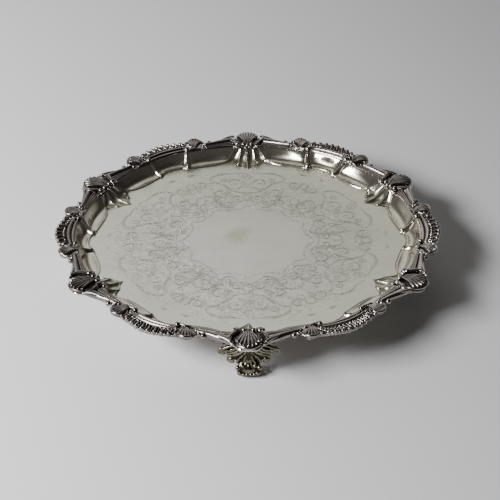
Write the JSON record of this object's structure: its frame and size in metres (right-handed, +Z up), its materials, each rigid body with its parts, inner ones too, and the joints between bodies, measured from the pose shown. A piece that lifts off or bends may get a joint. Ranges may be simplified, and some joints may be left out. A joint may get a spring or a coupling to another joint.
{
  "type": "silver salver",
  "caption": "Round footed silver salver: flat engraved floor, fluted wall, cast border of shells, reeded moulding and beaded arcs, on scroll feet with shell toes.",
  "frame": {"origin": "centre of the tray, on the plane of the three toes", "axes": "+Z up out of the tray; the front foot is at -Y; +X to the right seen from the front foot"},
  "size_m": [0.2992, 0.305, 0.04],
  "materials": {
    "tray_silver": "satin silver plate, fine scratches, faint yellow-grey tarnish, bright-cut engraving",
    "border_silver": "cast silver plate, polished on the high points, purple-brown tarnish in the recesses",
    "foot_silver": "cast silver plate, polished on the high points, olive-brown tarnish in the recesses"
  },
  "bodies": {
    "root": {"tray_body": "tray_silver", "shell_1": "border_silver", "shell_2": "border_silver", "shell_3": "border_silver", "shell_4": "border_silver", "shell_5": "border_silver", "shell_6": "border_silver", "moulding_1a": "border_silver", "moulding_1b": "border_silver", "moulding_2a": "border_silver", "moulding_2b": "border_silver", "moulding_3a": "border_silver", "moulding_3b": "border_silver", "moulding_4a": "border_silver", "moulding_4b": "border_silver", "moulding_5a": "border_silver", "moulding_5b": "border_silver", "moulding_6a": "border_silver", "moulding_6b": "border_silver", "leaf_1a": "border_silver", "leaf_1b": "border_silver", "leaf_2a": "border_silver", "leaf_2b": "border_silver", "leaf_3a": "border_silver", "leaf_3b": "border_silver", "leaf_4a": "border_silver", "leaf_4b": "border_silver", "leaf_5a": "border_silver", "leaf_5b": "border_silver", "leaf_6a": "border_silver", "leaf_6b": "border_silver", "gadroon_1": "border_silver", "gadroon_2": "border_silver", "gadroon_3": "border_silver", "gadroon_4": "border_silver", "gadroon_5": "border_silver", "gadroon_6": "border_silver", "foot_front": "foot_silver", "foot_back_right": "foot_silver", "foot_back_left": "foot_silver"}
  },
  "joints": []
}
